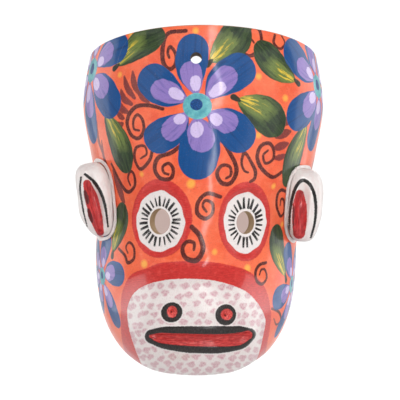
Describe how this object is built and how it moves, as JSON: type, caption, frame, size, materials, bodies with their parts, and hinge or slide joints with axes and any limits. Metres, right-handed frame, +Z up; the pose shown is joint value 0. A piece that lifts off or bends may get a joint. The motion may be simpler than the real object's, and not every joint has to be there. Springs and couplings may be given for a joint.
{
  "type": "carved wooden monkey mask",
  "caption": "Hollow carved and painted wooden monkey mask with drilled eyes, separately pegged ears, a raised muzzle and a hole at the crown for hanging.",
  "frame": {"origin": "middle of the hanging hole's mouth in the outer surface of the forehead", "axes": "+Z up along the face, -Y the way the face looks, +Y towards the wall, +X to the right of someone who faces the mask"},
  "size_m": [0.1776, 0.0953, 0.248],
  "materials": {
    "painted_wood": "orange-red ground with blue, lilac, green and white brush painting under a glossy varnish; bare light wood inside",
    "painted_ear_wood": "white brush paint with black lines and a red hollow under a glossy varnish",
    "white_filler": "wood paste, painted white",
    "bare_wood": "unpainted light wood"
  },
  "bodies": {
    "root": {"face_shell": "painted_wood", "left_ear": "painted_ear_wood", "right_ear": "painted_ear_wood", "left_ear_filler": "white_filler", "right_ear_filler": "white_filler", "left_ear_lower_peg": "bare_wood", "left_ear_upper_peg": "bare_wood", "right_ear_lower_peg": "bare_wood", "right_ear_upper_peg": "bare_wood"}
  },
  "joints": []
}
